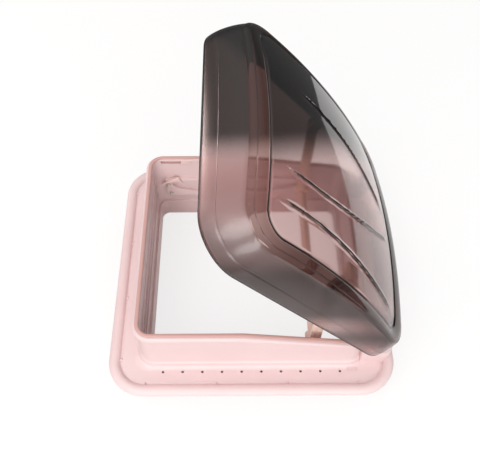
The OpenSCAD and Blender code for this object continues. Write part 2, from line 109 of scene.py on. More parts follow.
# %% Helpers for materials


def linear(hex_colour):
    """Linear RGBA of an sRGB hex colour."""
    channels = [int(hex_colour[i:i + 2], 16) / 255 for i in (1, 3, 5)]
    return [c / 12.92 if c <= 0.04045 else ((c + 0.055) / 1.055) ** 2.4 for c in channels] + [1.0]


def add_node(tree, kind, settings=None, inputs=None):
    """Adds a node; an input is a value, or a socket of another node to link from."""
    made = tree.nodes.new(kind)
    for key, value in (settings or {}).items():
        setattr(made, key, value)
    for key, value in (inputs or {}).items():
        if isinstance(value, bpy.types.NodeSocket):
            tree.links.new(value, made.inputs[key])
        else:
            made.inputs[key].default_value = value
    return made


def new_material(name):
    """A node material, its tree and its Principled shader."""
    made = bpy.data.materials.new(name)
    made.use_nodes = True
    tree = made.node_tree
    return made, tree, tree.nodes["Principled BSDF"]


def moulded_plastic(name, low, high, roughness, grain_mm=0.9, grain_depth_mm=0.04, drift_mm=60):
    """Injection-moulded plastic: two close tones drift over the part, with a fine spark-eroded grain."""
    made, tree, shader = new_material(name)
    place = add_node(tree, "ShaderNodeTexCoord")
    drift = add_node(tree, "ShaderNodeTexNoise", None,
                     {"Vector": place.outputs["Object"], "Scale": 1 / (drift_mm * MM), "Detail": 3.0})
    tones = add_node(tree, "ShaderNodeMix", {"data_type": "RGBA"},
                     {"Factor": drift.outputs["Fac"], "A": linear(low), "B": linear(high)})
    grain = add_node(tree, "ShaderNodeTexNoise", None,
                     {"Vector": place.outputs["Object"], "Scale": 1 / (grain_mm * MM), "Detail": 2.0})
    gloss = add_node(tree, "ShaderNodeMapRange", None,
                     {"Value": drift.outputs["Fac"], "To Min": roughness - 0.05, "To Max": roughness + 0.07})
    bump = add_node(tree, "ShaderNodeBump", None,
                    {"Height": grain.outputs["Fac"], "Strength": 0.35, "Distance": grain_depth_mm * MM})
    tree.links.new(tones.outputs["Result"], shader.inputs["Base Color"])
    tree.links.new(gloss.outputs["Result"], shader.inputs["Roughness"])
    tree.links.new(bump.outputs["Normal"], shader.inputs["Normal"])
    shader.inputs["IOR"].default_value = 1.5
    return made


# %% [markdown]
# ## The finishes
# The frame is satin ABS, a pale warm pink. The stay arms are a creamier, glossier nylon. Pins and screws
# are zinc-plated steel, whose fine crystals give it a cloudy gloss.

# %% Plastics and metal
frame_abs = moulded_plastic("frame_abs", "#dcc2c1", "#e4cccb", 0.42)
# Pink-brown rubber of the rim seal; the same colour paints the shade in the slots under the rim.
seal_tpe_and_slot_shade = moulded_plastic("seal_tpe_and_slot_shade", "#c79a93", "#d0a59e", 0.55)
stay_nylon = moulded_plastic("stay_nylon", "#e6c4b4", "#efd2c5", 0.32)
latch_abs = moulded_plastic("latch_abs", "#e3c4bd", "#ecd0ca", 0.4)
glide_nylon = moulded_plastic("glide_nylon", "#e2dbd4", "#ece7e2", 0.45)
# A near-black colour that paints the shade at the bottom of the roof screw holes.
painted_hole_shade = moulded_plastic("painted_hole_shade", "#3b2f2e", "#4a3c3a", 0.7)

CRYSTAL_MM = 0.6
zinc_steel, tree, shader = new_material("zinc_steel")
place = add_node(tree, "ShaderNodeTexCoord")
crystals = add_node(tree, "ShaderNodeTexNoise", None,
                    {"Vector": place.outputs["Object"], "Scale": 1 / (CRYSTAL_MM * MM), "Detail": 3.0})
plating = add_node(tree, "ShaderNodeMapRange", None,
                   {"Value": crystals.outputs["Fac"], "To Min": 0.22, "To Max": 0.4})
tree.links.new(plating.outputs["Result"], shader.inputs["Roughness"])
shader.inputs["Base Color"].default_value = linear("#cfc6c0")
shader.inputs["Metallic"].default_value = 1.0

# %% [markdown]
# ## Smoked acrylic
# Acrylic bends light by 1.49. Its base colour is what white light keeps after one pass through the sheet.
# The smoke is not the same all over, and three vertex attributes say how. The first is painted light and shade:
# it is 1 where the smoke is painted pale, 0 where it is painted dark for shade and dark reflections, and it paints
# dark lines along the ridges and the top edge's groove. `band` is 1 on the browner shoulder, and `frost` is 1 on
# the skirt, which the mould left lightly frosted.

# %% Acrylic
# Smoke tints: the dark colours paint shade and dark reflections into the smoke, the pale ones paint its bright
# patches.
SMOKE_PAINTED_DARK, SMOKE_PAINTED_PALE = "#382d2b", "#d8bab7"
BAND_PAINTED_DARK, BAND_PAINTED_PALE = "#4a2f2a", "#a8857f"
TOP_ROUGHNESS, SKIRT_ROUGHNESS = 0.05, 0.25

smoked_acrylic, tree, shader = new_material("smoked_acrylic")
# This attribute paints light and shade into the smoke; it mixes the pale and dark tints.
painted_light_and_shade = add_node(tree, "ShaderNodeAttribute", {"attribute_name": "painted_light_and_shade"})
band = add_node(tree, "ShaderNodeAttribute", {"attribute_name": "band"})
frost = add_node(tree, "ShaderNodeAttribute", {"attribute_name": "frost"})
smoke = add_node(tree, "ShaderNodeMix", {"data_type": "RGBA"},
                 {"Factor": painted_light_and_shade.outputs["Fac"], "A": linear(SMOKE_PAINTED_DARK), "B": linear(SMOKE_PAINTED_PALE)})
brown = add_node(tree, "ShaderNodeMix", {"data_type": "RGBA"},
                 {"Factor": painted_light_and_shade.outputs["Fac"], "A": linear(BAND_PAINTED_DARK), "B": linear(BAND_PAINTED_PALE)})
tint = add_node(tree, "ShaderNodeMix", {"data_type": "RGBA"},
                {"Factor": band.outputs["Fac"], "A": smoke.outputs["Result"], "B": brown.outputs["Result"]})
haze = add_node(tree, "ShaderNodeMapRange", None,
                {"Value": frost.outputs["Fac"], "To Min": TOP_ROUGHNESS, "To Max": SKIRT_ROUGHNESS})
tree.links.new(tint.outputs["Result"], shader.inputs["Base Color"])
tree.links.new(haze.outputs["Result"], shader.inputs["Roughness"])
shader.inputs["IOR"].default_value = 1.49
shader.inputs["Transmission Weight"].default_value = 1.0

# %% [markdown]
# ## Finishing a piece
# Every piece ends the same way: it gets its material, rides on the body that carries it, and the measured
# solids it stands for are hidden. Modifiers are baked first, so that each piece is a plain mesh.

# %% Helpers for pieces
FINISH_OF_SLOT = {
    "frame_plastic": frame_abs, "seal_rubber": seal_tpe_and_slot_shade, "smoked_acrylic": smoked_acrylic,
    "stay_plastic": stay_nylon, "latch_plastic": latch_abs, "glide_nylon": glide_nylon,
    "zinc_steel": zinc_steel,
}
slot_of_node = {row["node"]: row["material_slot"] for row in frame["record"]["subparts"]}
body_of_node = {}
for body_name, members in frame["record"]["behaviour"]["bodies"].items():
    for member in members:
        body_of_node[member] = body_name


def mesh_object(name, shape):
    """Turns a bmesh into an object at the origin, with its faces pointing outwards."""
    mesh = bpy.data.meshes.new(name)
    bmesh.ops.recalc_face_normals(shape, faces=shape.faces)
    shape.to_mesh(mesh)
    shape.free()
    piece = bpy.data.objects.new(name, mesh)
    bpy.context.scene.collection.objects.link(piece)
    return piece


def apply_modifiers(piece):
    """Bakes an object's modifiers into its mesh."""
    seen = piece.evaluated_get(bpy.context.evaluated_depsgraph_get())
    mesh = bpy.data.meshes.new_from_object(seen)
    piece.modifiers.clear()
    piece.data = mesh
    return piece


def smooth_by_angle(piece, degrees=40):
    """Smooth shading that breaks at sharp edges."""
    piece.data.shade_smooth()
    piece.data.set_sharp_from_angle(angle=math.radians(degrees))
    return piece


def bevelled(piece, width_mm, segments=3, limit=30):
    """Rounds every edge of a piece that is sharper than the limit."""
    rounding = piece.modifiers.new("rounding", "BEVEL")
    rounding.width = width_mm * MM
    rounding.segments = segments
    rounding.limit_method = "ANGLE"
    rounding.angle_limit = math.radians(limit)
    apply_modifiers(piece)
    return smooth_by_angle(piece)


def finish_piece(piece, material, body, stands_for=()):
    """Gives a piece its finish and its body, and hides the CAD nodes it stands for."""
    piece.data.materials.clear()
    piece.data.materials.append(material)
    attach(piece, body)
    if stands_for:
        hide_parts(*stands_for)
    return piece


def join(target, others):
    """Joins pieces into one object."""
    shape = bmesh.new()
    for piece in [target] + others:
        shape.from_mesh(piece.data)
    shape.to_mesh(target.data)
    shape.free()
    for piece in others:
        bpy.data.objects.remove(piece)
    return target


# %% [markdown]
# ## Sweeping round a rectangle
# The frame and the dome are both rings of rounded rectangles, one above the other. This helper gives the
# points of one such ring, always the same number of them, so that rings join into quads.

# %% Rounded rings and lofts


def rounded_ring(x0, x1, half_y, radius, side_points, corner_points):
    """Points of a rounded rectangle, anticlockwise from the +X side."""
    centres = [Vector((x1 - radius, half_y - radius)), Vector((x0 + radius, half_y - radius)),
               Vector((x0 + radius, radius - half_y)), Vector((x1 - radius, radius - half_y))]
    points = []
    for quarter in range(4):
        out = Matrix.Rotation(math.radians(90 * quarter), 2) @ Vector((radius, 0))
        start, end = centres[quarter - 1] + out, centres[quarter] + out
        for i in range(side_points):
            points.append(start.lerp(end, i / side_points))
        for i in range(corner_points):
            turn = Matrix.Rotation(math.radians(90 * i / corner_points), 2)
            points.append(centres[quarter] + turn @ out)
    return points


def loft(name, rings, closed_loop, caps=()):
    """A mesh from rings of equal length; a closed loop joins the last ring to the first."""
    shape = bmesh.new()
    rows = [[shape.verts.new(p) for p in ring] for ring in rings]
    count = len(rings[0])
    pairs = list(zip(rows, rows[1:])) + ([(rows[-1], rows[0])] if closed_loop else [])
    for low, high in pairs:
        for i in range(count):
            j = (i + 1) % count
            shape.faces.new((low[i], low[j], high[j], high[i]))
    for row in caps:
        shape.faces.new(rows[row])
    piece = mesh_object(name, shape)
    piece.data.shade_smooth()
    return piece


# %% [markdown]
# ## The roof frame
# The real frame is one injection moulding. Its section, from the bead at the flange edge over the groove
# and the collar's foot, up the wall to the rolled rim and down the inside to the ledge, is drawn once
# below in millimetres and swept round the square. Towards the hinge the rim slopes down.

# %% Roof frame
FRAME_SIDE_POINTS, FRAME_CORNER_POINTS = 24, 20
FLANGE_HALF, FLANGE_R = 183.0, 48.0
COLLAR_HALF, COLLAR_R = 141.0, 19.0
RIM_HIGH, RIM_LOW, SLOPE_FROM, SLOPE_TO = 80.0, 57.0, -10.0, 141.0
WALL_FOOT = 14.0


def arc(centre, radius, start, end, steps):
    """Points of an arc in the section, as (half width, height)."""
    turns = [math.radians(start + (end - start) * i / steps) for i in range(steps + 1)]
    return [(centre[0] + radius[0] * math.cos(a), centre[1] + radius[1] * math.sin(a)) for a in turns]


flange_section = (
    [(183.0, 0.0), (183.0, 1.2)]
    + arc((175.8, 1.6), (7.2, 6.4), 5, 168, 14)
    + [(168.6, 2.4), (167.8, 1.9), (166.8, 2.1), (166.0, 2.9), (165.0, 3.0), (158.0, 3.0), (150.0, 3.0)]
    + arc((150.5, 9.0), (6.0, 6.0), 268, 182, 8)
)
collar_section = (
    [(144.2, 10.4), (142.6, 11.6), (141.0, WALL_FOOT), (141.0, 40.0), (141.0, 68.0), (141.3, 70.2), (142.4, 70.9)]
    + arc((141.6, 75.4), (3.4, 4.5), -70, 90, 9)
    + arc((139.4, 76.0), (3.3, 3.9), 95, 180, 7)
    + [(136.0, 70.0), (136.0, 40.0), (136.0, 0.0), (136.0, -11.6), (135.6, -12.0), (133.5, -12.0), (133.0, -12.5),
       (133.0, -30.0), (133.0, -42.6), (133.4, -43.0), (138.6, -43.0), (139.0, -42.6), (139.0, -20.0), (139.0, 0.0)]
)


def rim_height(x):
    """Height of the rim at a place along X."""
    t = min(max((x - SLOPE_FROM) / (SLOPE_TO - SLOPE_FROM), 0), 1)
    return RIM_HIGH + (RIM_LOW - RIM_HIGH) * t


def frame_ring(half, height):
    """One ring of the frame; above the wall's foot it follows the sloping rim."""
    near_flange = min(max((half - 146.0) / 4.0, 0), 1)
    radius_flange = FLANGE_R + half - FLANGE_HALF
    radius_collar = COLLAR_R + half - COLLAR_HALF
    radius = max(radius_collar + (radius_flange - radius_collar) * near_flange, 1.0)
    ring = []
    for p in rounded_ring(-half, half, half, radius, FRAME_SIDE_POINTS, FRAME_CORNER_POINTS):
        z = height
        if height > WALL_FOOT:
            z = WALL_FOOT + (height - WALL_FOOT) * (rim_height(p.x) - WALL_FOOT) / (RIM_HIGH - WALL_FOOT)
        ring.append(Vector((p.x, p.y, z)) * MM)
    return ring


frame_piece = loft("roof_frame_moulding", [frame_ring(*p) for p in flange_section + collar_section], True)
print("frame faces:", len(frame_piece.data.polygons))

# %% [markdown]
# The flange is drilled for its roof screws, and slots run under the rim near the free corners. Cutting
# bodies are gathered in one mesh and taken away with a Boolean.

# %% Holes and slots in the frame
HOLE_PITCH, HOLE_COUNT, HOLE_D, HOLE_ROW = 25.0, 10, 3.4, 152.0
SLOT_FROM, SLOT_LENGTH, SLOT_DEEP, SLOT_LOW, SLOT_TALL = -131.0, 48.0, 3.0, 71.0, 6.0
POCKET_X, POCKET_SIZE, POCKET_DEEP = 128.0, (13.0, 5.0), 0.8
INNER_WALL = 136.0
hole_places = [((i - (HOLE_COUNT - 1) / 2) * HOLE_PITCH, side * HOLE_ROW)
               for side in (-1, 1) for i in range(HOLE_COUNT)]


def add_box(shape, low, high):
    """Adds a box between two corners, in millimetres."""
    made = bmesh.ops.create_cube(shape, size=1.0)["verts"]
    size = Vector(high) - Vector(low)
    for v in made:
        v.co = Vector([(low[i] + size[i] * (v.co[i] + 0.5)) * MM for i in range(3)])
    return made


cutter_shape = bmesh.new()
for x, y in hole_places:
    bmesh.ops.create_cone(cutter_shape, cap_ends=True, segments=24, radius1=HOLE_D / 2 * MM,
                          radius2=HOLE_D / 2 * MM, depth=20 * MM,
                          matrix=Matrix.Translation(Vector((x, y, 0)) * MM))
for side in (-1, 1):
    inner, outer = sorted((side * (INNER_WALL - 0.5), side * (INNER_WALL + SLOT_DEEP)))
    add_box(cutter_shape, (SLOT_FROM, inner, SLOT_LOW), (SLOT_FROM + SLOT_LENGTH, outer, SLOT_LOW + SLOT_TALL))
    y = side * (HOLE_ROW - 3.0)
    add_box(cutter_shape, (POCKET_X - POCKET_SIZE[0] / 2, y - POCKET_SIZE[1] / 2, 3.0 - POCKET_DEEP),
            (POCKET_X + POCKET_SIZE[0] / 2, y + POCKET_SIZE[1] / 2, 6.0))
cutter = mesh_object("frame_cutter", cutter_shape)
cut = frame_piece.modifiers.new("cut", "BOOLEAN")
cut.object = cutter
cut.operation = "DIFFERENCE"
cut.solver = "EXACT"
apply_modifiers(frame_piece)
bpy.data.objects.remove(cutter)
print("frame faces after cutting:", len(frame_piece.data.polygons))

# %% [markdown]
# The hinge shelf is a hollow box behind the collar, moulded in one with it. Ledges run along the inner
# wall on the free side. Both are added to the frame with their edges bevelled.

# %% Shelf and ledges
SHELF_X, SHELF_R = (138.0, 178.0), 14.0
SHELF_H = box_mm("hinge_block_back")[0].z
LEDGE_HEIGHTS = (18.0, 36.0, 54.0)
LEDGE_OUT, LEDGE_T, LEDGE_HALF = 2.0, 3.0, 122.0


def prism(name, outline, low, high, axis="Z"):
    """A block over an outline; axis Y lays the outline in X and Z."""
    shape = bmesh.new()
    for level in (low, high):
        ring = []
        for u, v in outline:
            ring.append(shape.verts.new(Vector((u, v, level) if axis == "Z" else (u, level, v)) * MM))
        shape.faces.new(ring)
    shape.verts.ensure_lookup_table()
    count = len(outline)
    for i in range(count):
        j = (i + 1) % count
        shape.faces.new([shape.verts[k] for k in (i, j, count + j, count + i)])
    return mesh_object(name, shape)


shelf_outline = (
    [(SHELF_X[0], COLLAR_HALF), (SHELF_X[0], -COLLAR_HALF)]
    + arc((SHELF_X[1] - SHELF_R, SHELF_R - COLLAR_HALF), (SHELF_R, SHELF_R), -90, 0, 10)
    + arc((SHELF_X[1] - SHELF_R, COLLAR_HALF - SHELF_R), (SHELF_R, SHELF_R), 0, 90, 10)
)
shelf = bevelled(prism("hinge_shelf", shelf_outline, 0.5, SHELF_H), 1.5)
ledge_shape = bmesh.new()
for height in LEDGE_HEIGHTS:
    add_box(ledge_shape, (-INNER_WALL - 1, -LEDGE_HALF, height),
            (LEDGE_OUT - INNER_WALL, LEDGE_HALF, height + LEDGE_T))
ledges = bevelled(mesh_object("inner_ledges", ledge_shape), 0.6, 2)
join(frame_piece, [shelf, ledges])
smooth_by_angle(frame_piece)
finish_piece(frame_piece, frame_abs, "frame", ["roof_frame"])
print("frame done:", len(frame_piece.data.polygons), "faces")

# %% [markdown]
# ## The rim seal
# A soft round bulb of rubber lies on the rim and follows its slope. It is a ring of small circles.

# %% Rim seal
SEAL_HALF, SEAL_W, SEAL_H = 138.8, 5.0, 2.5
seal_rings = []
for i in range(14):
    a = 2 * math.pi * i / 14
    half = SEAL_HALF + SEAL_W / 2 * math.cos(a)
    up = SEAL_H / 2 * (1 + math.sin(a))
    ring = rounded_ring(-half, half, half, COLLAR_R + half - COLLAR_HALF, FRAME_SIDE_POINTS, FRAME_CORNER_POINTS)
    seal_rings.append([Vector((p.x, p.y, rim_height(p.x) + up)) * MM for p in ring])
seal = loft("rim_seal_bulb", seal_rings, True)
finish_piece(seal, seal_tpe_and_slot_shade, "frame", ["rim_seal"])

# %% [markdown]
# A strip in the rim seal's colour lies in each slot under the rim, up to the clip, as painted shade in the deep
# slot.

# %% Painted shade in the slots
SLOT_SHADE_T, SLOT_SHADE_GAP = 1.2, 0.3
clip_low, _ = box_mm("rim_clips")
slot_shade_shape = bmesh.new()
for side in (-1, 1):
    inner, outer = sorted((side * (INNER_WALL + SLOT_SHADE_GAP), side * (INNER_WALL + SLOT_DEEP - SLOT_SHADE_GAP)))
    add_box(slot_shade_shape, (SLOT_FROM + SLOT_SHADE_GAP, inner, SLOT_LOW + 0.05),
            (clip_low.x - SLOT_SHADE_GAP, outer, SLOT_LOW + SLOT_SHADE_T))
slot_shade_strips = bevelled(mesh_object("slot_linings", slot_shade_shape), 0.3, 2)
finish_piece(slot_shade_strips, seal_tpe_and_slot_shade, "frame")

# %% [markdown]
# ## The dome
# The lid is drawn closed, as it was formed: a skirt that leans in a little, a rounded shoulder, a crisp
# groove along the top edge, and a top face that is crowned from front to back and falls towards the hinge.
# At the end the whole sheet turns open about the hinge.

# %% Shape of the dome
LID_X0, LID_X1, LID_HALF, LID_R, WALL = -170.0, 160.0, 165.0, 49.0, 3.0
MOUTH_Z = 42.0
SKIRT_INSET = Vector((14.0, 9.0, 2.0))
EDGE_INSET = Vector((35.0, 23.0, 24.0))
SKIRT_SHARE, SKIRT_CURVE = 0.84, 1.8
EDGE_H, EDGE_PEAK, EDGE_FALL, CROWN = 55.0, -60.0, 28.0, 12.0
EDGE_HALF = LID_HALF - EDGE_INSET[1]
EDGE_SPAN = LID_X1 - EDGE_INSET[2] - EDGE_PEAK
EDGE_MIDDLE = Vector(((LID_X0 + EDGE_INSET[0] + LID_X1 - EDGE_INSET[2]) / 2, 0.0))
OPEN_DEG = 48.7
hinge_box = box_mm("hinge_pin_back")
HINGE = Vector(((hinge_box[0].x + hinge_box[1].x) / 2, 0, (hinge_box[0].z + hinge_box[1].z) / 2)) * MM
LID_SIDE_POINTS, LID_CORNER_POINTS = 84, 16

open_turn = (Matrix.Translation(HINGE) @ Matrix.Rotation(math.radians(OPEN_DEG), 4, "Y")
             @ Matrix.Translation(-HINGE))


def top_rise(x, y):
    """Height of the top face above the mouth, at a place in the closed lid."""
    fall = EDGE_FALL * ((x - EDGE_PEAK) / EDGE_SPAN) ** 2
    return EDGE_H - fall + CROWN * (1 - (y / EDGE_HALF) ** 2)


CREASE_DEEP, CREASE_LEVELS = 0.6, (0.4, 1.45)


def dome_profile(level):
    """Insets and share of the height at a level: 0 mouth, 1 skirt top, 2 top edge, 3 middle."""
    crease = Vector((1, 1, 1)) * (CREASE_DEEP if level in CREASE_LEVELS else 0)
    if level <= 1:
        return SKIRT_INSET * level ** SKIRT_CURVE + crease, SKIRT_SHARE * level
    turn = math.radians(90 * (min(level, 2) - 1))
    inset = SKIRT_INSET + (EDGE_INSET - SKIRT_INSET) * (1 - math.cos(turn))
    return inset + crease, SKIRT_SHARE + (1 - SKIRT_SHARE) * math.sin(turn)


def dome_path(level, wall):
    """The flat ring of the dome at a level, before it is lifted."""
    inset, _ = dome_profile(level)
    return rounded_ring(LID_X0 + wall + inset[0], LID_X1 - wall - inset[2], LID_HALF - wall - inset[1],
                        LID_R - wall - inset[1], LID_SIDE_POINTS, LID_CORNER_POINTS)


# %% [markdown]
# Three long ridges stiffen the top face. Each starts as a point near the free edge and widens towards the
# hinge. Its line is a parabola through three places on the closed lid, given in millimetres.

# %% Ridges and the edge groove
RIDGES = [
    ((-80.0, 70.0), (15.0, 60.0), (118.0, 20.0), 6.5),
    ((-112.0, -58.0), (32.0, -48.0), (122.0, -21.0), 3.5),
    ((-126.0, -100.0), (15.0, -105.0), (118.0, -121.0), 5.0),
]
RIDGE_RISE, RIDGE_START = 2.2, 1.2
GROOVE_DEEP, GROOVE_LEVELS = 1.0, (2.0, 2.02)


def parabola(points, x):
    """Place along Y of the parabola through three points."""
    total = 0.0
    for i, (xi, yi) in enumerate(points):
        weight = 1.0
        for j, (xj, _) in enumerate(points):
            if i != j:
                weight *= (x - xj) / (xi - xj)
        total += yi * weight
    return total


def ridge_share(x, y):
    """How much of a ridge's height a place on the top face has, from 0 to 1."""
    best = 0.0
    for start, middle, end, end_width in RIDGES:
        t = (x - start[0]) / (end[0] - start[0])
        if 0 < t < 1:
            width = RIDGE_START + (end_width - RIDGE_START) * t
            off = abs(y - parabola((start, middle, end), x)) / width
            best = max(best, (1 - off) * min(1, 10 * t) * min(1, 12 * (1 - t)))
    return best


def groove_share(level):
    """1 in the groove along the top edge, 0 elsewhere."""
    return 1.0 if GROOVE_LEVELS[0] < level < GROOVE_LEVELS[1] else 0.0


def dome_ring(level, wall):
    """One ring of the open dome; wall is how far it lies inside the outer face."""
    _, share = dome_profile(level)
    shrink = 1 - max(level - 2, 0)
    ring = []
    for p, edge in zip(dome_path(level, wall), dome_path(2, wall)):
        p = EDGE_MIDDLE + shrink * (p - EDGE_MIDDLE)
        edge = EDGE_MIDDLE + shrink * (edge - EDGE_MIDDLE)
        z = share * (top_rise(edge.x, edge.y) - wall) - GROOVE_DEEP * groove_share(level)
        if level > 2:
            z += RIDGE_RISE * ridge_share(p.x, p.y)
        ring.append(open_turn @ (Vector((p.x, p.y, MOUTH_Z + z)) * MM))
    return ring


# %% [markdown]
# The levels are closest round the edge groove, so that its sides stay crisp. The outer and the inner skin
# join at the mouth into one closed sheet.

# %% The dome's sheet
SKIRT_RINGS, SHOULDER_RINGS, CROWN_RINGS = 12, 16, 64
CREASE_HALF = 0.02
levels = sorted([i / SKIRT_RINGS for i in range(SKIRT_RINGS + 1)]
                + [1 + i / SHOULDER_RINGS for i in range(1, SHOULDER_RINGS + 1)]
                + [middle + side * CREASE_HALF for middle in CREASE_LEVELS for side in (-1, 0, 1)]
                + [2.005, 2.01, 2.015, 2.021]
                + [2.03 + 0.965 * i / CROWN_RINGS for i in range(CROWN_RINGS + 1)])
outer = [dome_ring(level, 0.0) for level in levels]
inner = [dome_ring(level, WALL) for level in levels]
dome = loft("lid_dome_shell", outer[::-1] + inner, False, caps=(0, 2 * len(levels) - 1))


def smooth_step(low, high, value):
    """0 below low, 1 above high, and a soft rise between them."""
    t = min(max((value - low) / (high - low), 0), 1)
    return t * t * (3 - 2 * t)


# Painted light and shade on the skirt: pale and dark stripes across a slanting line, as place and share.
SKIRT_PAINTED_LIGHT_AND_SHADE = [(-85, 0.0), (-43, 0.9), (5, 0.8), (55, 0.35), (95, 0.05), (150, 0.1), (175, 0.8),
              (195, 0.25), (225, 0.85)]
SKIRT_SLANT = 26.0


def painted_light_and_shade_at(level, p):
    """Painted light and shade in the smoke, along a line from the free back corner to the hinge's front corner."""
    if level <= 1:
        along = 0.6 * p.x - p.y - SKIRT_SLANT * level
        share = SKIRT_PAINTED_LIGHT_AND_SHADE[0][1]
        for (low, before), (high, after) in zip(SKIRT_PAINTED_LIGHT_AND_SHADE, SKIRT_PAINTED_LIGHT_AND_SHADE[1:]):
            share += (after - before) * smooth_step(low, high, along)
        return share
    along = 0.73 * p.x - p.y
    if level <= 2:
        return smooth_step(-70, -40, along) * (1 - 0.8 * smooth_step(20, 90, along))
    # The groove and the ridges are painted as dark lines of shade in the smoke.
    painted_crease_shade = max(groove_share(level), smooth_step(0.25, 0.6, ridge_share(p.x, p.y)))
    return smooth_step(-70, -10, along) * (1 - painted_crease_shade)


def add_attribute(piece, name, values):
    """Stores one number for each vertex."""
    layer = piece.data.attributes.new(name, "FLOAT", "POINT")
    layer.data.foreach_set("value", values)


# Each vertex gets its painted light and shade, its band and its frost, in the loft's order.
painted_light_and_shade_values, band_values, frost_values = [], [], []
for wall, order in ((0.0, levels[::-1]), (WALL, levels)):
    for level in order:
        shrink = 1 - max(level - 2, 0)
        path = [EDGE_MIDDLE + shrink * (p - EDGE_MIDDLE) for p in dome_path(level, wall)]
        painted_light_and_shade_values += [painted_light_and_shade_at(level, p) for p in path]
        in_band = smooth_step(0.98, 1.04, level) * (1 - smooth_step(1.98, 2.0, level))
        band_values += [in_band] * len(path)
        frost_values += [1 - smooth_step(0.95, 1.1, level)] * len(path)
add_attribute(dome, "painted_light_and_shade", painted_light_and_shade_values)
add_attribute(dome, "band", band_values)
add_attribute(dome, "frost", frost_values)
finish_piece(dome, smoked_acrylic, "lid", ["lid_dome"])
print("dome done:", len(dome.data.polygons), "faces")

# %% [markdown]
# ## The small mouldings
# The rails, blocks, levers and pins already have the right shape, but their edges are as sharp as a
# drawing. A copy of each is merged into clean faces and its edges are rounded by a fraction of a millimetre.

# %% Softened copies of the small parts
EDGE_ROUND = {
    "guide_rail_front": 0.7, "guide_rail_back": 0.7, "rim_clips": 0.5,
    "hinge_block_front": 0.7, "hinge_block_back": 0.7, "hinge_leaf_front": 0.5, "hinge_leaf_back": 0.5,
    "stay_bracket_front": 0.6, "stay_bracket_back": 0.6, "latch_lever_front": 0.4, "latch_lever_back": 0.4,
    "stay_arm_front": 0.8, "stay_arm_back": 0.8, "stay_crossbar": 0.6,
    "crossbar_collar_front": 0.8, "crossbar_collar_back": 0.8, "glide_front": 0.3, "glide_back": 0.3,
    "hinge_pin_front": 0.4, "hinge_pin_back": 0.4, "stay_pin_front": 0.4, "stay_pin_back": 0.4,
    "latch_pin_front": 0.4, "latch_pin_back": 0.4,
}
MERGE_MM = 0.005
FLAT_DEG = 1.0


def softened(node, width_mm):
    """A copy of a CAD node with clean faces and rounded edges."""
    shape = bmesh.new()
    shape.from_mesh(nodes[node].data)
    bmesh.ops.remove_doubles(shape, verts=shape.verts, dist=MERGE_MM * MM)
    bmesh.ops.dissolve_limit(shape, angle_limit=math.radians(FLAT_DEG), verts=shape.verts, edges=shape.edges)
    return bevelled(mesh_object(node + "_moulding", shape), width_mm, 2, 40)


for node, width_mm in EDGE_ROUND.items():
    slot = slot_of_node[node]
    finish_piece(softened(node, width_mm), FINISH_OF_SLOT[slot], body_of_node[node], [node])
print("softened:", len(EDGE_ROUND), "pieces")

# %% [markdown]
# ## Screws
# Eighteen pan-head screws hold the rails, blocks, leaves and brackets. One screw is modelled with its
# cross recess, and a Geometry Nodes tree sets a copy on every seat, turned to face the way the seat does.

# %% One pan-head screw
HEAD_R, HEAD_H, SHANK_R, SHANK_L = 3.25, 2.0, 1.5, 2.4
CROSS_L, CROSS_W, CROSS_DEEP = 3.6, 0.8, 1.1

screw_profile = [(0.0, HEAD_H)] + arc((HEAD_R - 1.2, HEAD_H - 1.2), (1.2, 1.2), 90, 0, 6)
screw_profile += [(HEAD_R, 0.0), (SHANK_R, 0.0), (SHANK_R, -SHANK_L), (0.0, -SHANK_L)]
SCREW_SEGMENTS = 32
shape = bmesh.new()
edge_loop = [shape.verts.new(Vector((r, 0, z)) * MM) for r, z in screw_profile]
edges = [shape.edges.new(pair) for pair in zip(edge_loop, edge_loop[1:])]
bmesh.ops.spin(shape, geom=edge_loop + edges, axis=(0, 0, 1), cent=(0, 0, 0), angle=2 * math.pi,
               steps=SCREW_SEGMENTS)
bmesh.ops.remove_doubles(shape, verts=shape.verts, dist=MERGE_MM * MM)
screw = mesh_object("pan_head_screw", shape)
cross_shape = bmesh.new()
add_box(cross_shape, (-CROSS_L / 2, -CROSS_W / 2, HEAD_H - CROSS_DEEP), (CROSS_L / 2, CROSS_W / 2, HEAD_H + 1))
add_box(cross_shape, (-CROSS_W / 2, -CROSS_L / 2, HEAD_H - CROSS_DEEP), (CROSS_W / 2, CROSS_L / 2, HEAD_H + 1))
cross = mesh_object("cross_recess", cross_shape)
recess = screw.modifiers.new("recess", "BOOLEAN")
recess.object = cross
recess.operation = "DIFFERENCE"
recess.solver = "EXACT"
recess.use_self = True
smooth_by_angle(apply_modifiers(screw), 35)
bpy.data.objects.remove(cross)
print("screw faces:", len(screw.data.polygons))

# %% [markdown]
# The tree reads a vector attribute, `facing`, on each point. It turns the instance's Z axis along it,
# scales it and makes it real. Its inputs are the piece to set, a size and the finish.

# %% Tree that sets a piece on points


